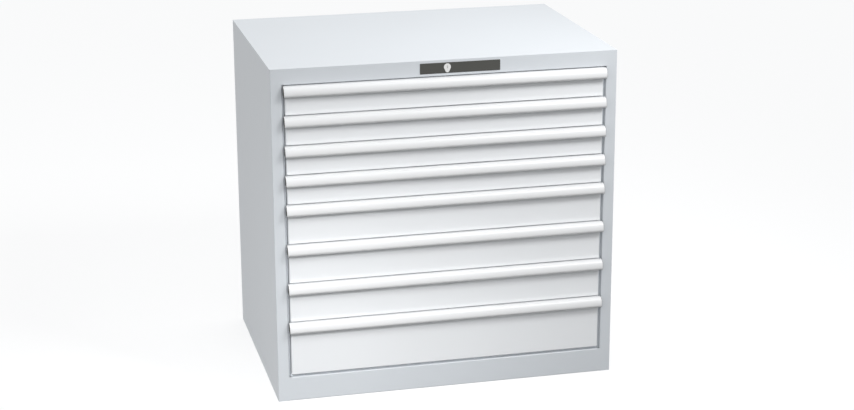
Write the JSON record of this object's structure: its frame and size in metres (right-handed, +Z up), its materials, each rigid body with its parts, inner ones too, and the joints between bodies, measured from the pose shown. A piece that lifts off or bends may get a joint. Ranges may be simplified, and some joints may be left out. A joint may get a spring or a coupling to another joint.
{
  "type": "modular drawer cabinet",
  "caption": "Steel cabinet with a stack of full-width drawers on telescopic runners, continuous grip handles, a central lock and a flat base.",
  "frame": {"origin": "middle of the housing's footprint, on the floor", "axes": "+Z up, drawers open towards -Y, +X to the right seen from the front"},
  "size_m": [1.023, 0.7478, 1],
  "materials": {
    "housing_grey": "light grey powder coat, satin, fine texture",
    "front_white": "white powder coat, satin",
    "handle_white": "extruded profile, white powder coat",
    "end_cap_grey": "moulded, fine grain",
    "tray_grey": "light grey powder coat",
    "zinc_sheet": "bright zinc plate",
    "stop_rubber": "black rubber",
    "rivet_metal": "bright blind rivets",
    "lock_plate_dark": "dark grey, fine matt",
    "lock_nickel": "satin nickel plate"
  },
  "bodies": {
    "cabinet": {"left_side_panel": "housing_grey", "right_side_panel": "housing_grey", "top_panel": "housing_grey", "rear_panel": "housing_grey", "base_panel": "housing_grey", "top_fascia": "housing_grey", "plinth": "housing_grey", "uprights": "zinc_sheet", "left_cabinet_rails": "zinc_sheet", "right_cabinet_rails": "zinc_sheet", "drawer_stops": "stop_rubber", "rear_rivets": "rivet_metal", "lock_plate": "lock_plate_dark", "lock_barrel": "lock_nickel", "lock_guides": "zinc_sheet"},
    "drawer_1": {"drawer_1_tray": "tray_grey", "drawer_1_front": "front_white", "drawer_1_handle": "handle_white", "drawer_1_end_caps": "end_cap_grey"},
    "carriage_1": {"carriage_1": "zinc_sheet"},
    "drawer_2": {"drawer_2_tray": "tray_grey", "drawer_2_front": "front_white", "drawer_2_handle": "handle_white", "drawer_2_end_caps": "end_cap_grey"},
    "carriage_2": {"carriage_2": "zinc_sheet"},
    "drawer_3": {"drawer_3_tray": "tray_grey", "drawer_3_front": "front_white", "drawer_3_handle": "handle_white", "drawer_3_end_caps": "end_cap_grey"},
    "carriage_3": {"carriage_3": "zinc_sheet"},
    "drawer_4": {"drawer_4_tray": "tray_grey", "drawer_4_front": "front_white", "drawer_4_handle": "handle_white", "drawer_4_end_caps": "end_cap_grey"},
    "carriage_4": {"carriage_4": "zinc_sheet"},
    "drawer_5": {"drawer_5_tray": "tray_grey", "drawer_5_front": "front_white", "drawer_5_handle": "handle_white", "drawer_5_end_caps": "end_cap_grey"},
    "carriage_5": {"carriage_5": "zinc_sheet"},
    "drawer_6": {"drawer_6_tray": "tray_grey", "drawer_6_front": "front_white", "drawer_6_handle": "handle_white", "drawer_6_end_caps": "end_cap_grey"},
    "carriage_6": {"carriage_6": "zinc_sheet"},
    "drawer_7": {"drawer_7_tray": "tray_grey", "drawer_7_front": "front_white", "drawer_7_handle": "handle_white", "drawer_7_end_caps": "end_cap_grey"},
    "carriage_7": {"carriage_7": "zinc_sheet"},
    "drawer_8": {"drawer_8_tray": "tray_grey", "drawer_8_front": "front_white", "drawer_8_handle": "handle_white", "drawer_8_end_caps": "end_cap_grey"},
    "carriage_8": {"carriage_8": "zinc_sheet"},
    "lock_plug": {"lock_plug": "lock_nickel"},
    "transfer_bar": {"transfer_bar": "zinc_sheet"},
    "locking_bar": {"locking_bar": "zinc_sheet"}
  },
  "joints": [
    {"name": "drawer_1_slide", "type": "slide", "parent": "cabinet", "child": "drawer_1", "axis": [0, -1, 0], "range_m": [0, 0.64]},
    {"name": "carriage_1_slide", "type": "slide", "parent": "cabinet", "child": "carriage_1", "axis": [0, -1, 0], "range_m": [0, 0.32]},
    {"name": "drawer_2_slide", "type": "slide", "parent": "cabinet", "child": "drawer_2", "axis": [0, -1, 0], "range_m": [0, 0.64]},
    {"name": "carriage_2_slide", "type": "slide", "parent": "cabinet", "child": "carriage_2", "axis": [0, -1, 0], "range_m": [0, 0.32]},
    {"name": "drawer_3_slide", "type": "slide", "parent": "cabinet", "child": "drawer_3", "axis": [0, -1, 0], "range_m": [0, 0.64]},
    {"name": "carriage_3_slide", "type": "slide", "parent": "cabinet", "child": "carriage_3", "axis": [0, -1, 0], "range_m": [0, 0.32]},
    {"name": "drawer_4_slide", "type": "slide", "parent": "cabinet", "child": "drawer_4", "axis": [0, -1, 0], "range_m": [0, 0.64]},
    {"name": "carriage_4_slide", "type": "slide", "parent": "cabinet", "child": "carriage_4", "axis": [0, -1, 0], "range_m": [0, 0.32]},
    {"name": "drawer_5_slide", "type": "slide", "parent": "cabinet", "child": "drawer_5", "axis": [0, -1, 0], "range_m": [0, 0.64]},
    {"name": "carriage_5_slide", "type": "slide", "parent": "cabinet", "child": "carriage_5", "axis": [0, -1, 0], "range_m": [0, 0.32]},
    {"name": "drawer_6_slide", "type": "slide", "parent": "cabinet", "child": "drawer_6", "axis": [0, -1, 0], "range_m": [0, 0.64]},
    {"name": "carriage_6_slide", "type": "slide", "parent": "cabinet", "child": "carriage_6", "axis": [0, -1, 0], "range_m": [0, 0.32]},
    {"name": "drawer_7_slide", "type": "slide", "parent": "cabinet", "child": "drawer_7", "axis": [0, -1, 0], "range_m": [0, 0.64]},
    {"name": "carriage_7_slide", "type": "slide", "parent": "cabinet", "child": "carriage_7", "axis": [0, -1, 0], "range_m": [0, 0.32]},
    {"name": "drawer_8_slide", "type": "slide", "parent": "cabinet", "child": "drawer_8", "axis": [0, -1, 0], "range_m": [0, 0.64]},
    {"name": "carriage_8_slide", "type": "slide", "parent": "cabinet", "child": "carriage_8", "axis": [0, -1, 0], "range_m": [0, 0.32]},
    {"name": "lock_turn", "type": "hinge", "parent": "cabinet", "child": "lock_plug", "pos_m": [0, -0.3625, 0.97985], "axis": [0, 1, 0], "range_deg": [0, 90]},
    {"name": "transfer_bar_slide", "type": "slide", "parent": "cabinet", "child": "transfer_bar", "axis": [1, 0, 0], "range_m": [0, 0.0099]},
    {"name": "locking_bar_lift", "type": "slide", "parent": "cabinet", "child": "locking_bar", "axis": [0, 0, 1], "range_m": [0, 0.0099]}
  ],
  "couplings": [
    {"joint": "carriage_1_slide", "follows": "drawer_1_slide", "ratio": 0.5},
    {"joint": "carriage_2_slide", "follows": "drawer_2_slide", "ratio": 0.5},
    {"joint": "carriage_3_slide", "follows": "drawer_3_slide", "ratio": 0.5},
    {"joint": "carriage_4_slide", "follows": "drawer_4_slide", "ratio": 0.5},
    {"joint": "carriage_5_slide", "follows": "drawer_5_slide", "ratio": 0.5},
    {"joint": "carriage_6_slide", "follows": "drawer_6_slide", "ratio": 0.5},
    {"joint": "carriage_7_slide", "follows": "drawer_7_slide", "ratio": 0.5},
    {"joint": "carriage_8_slide", "follows": "drawer_8_slide", "ratio": 0.5},
    {"joint": "lock_turn", "follows": "locking_bar_lift", "rad_per_m": 158.67},
    {"joint": "transfer_bar_slide", "follows": "locking_bar_lift", "ratio": 1}
  ]
}
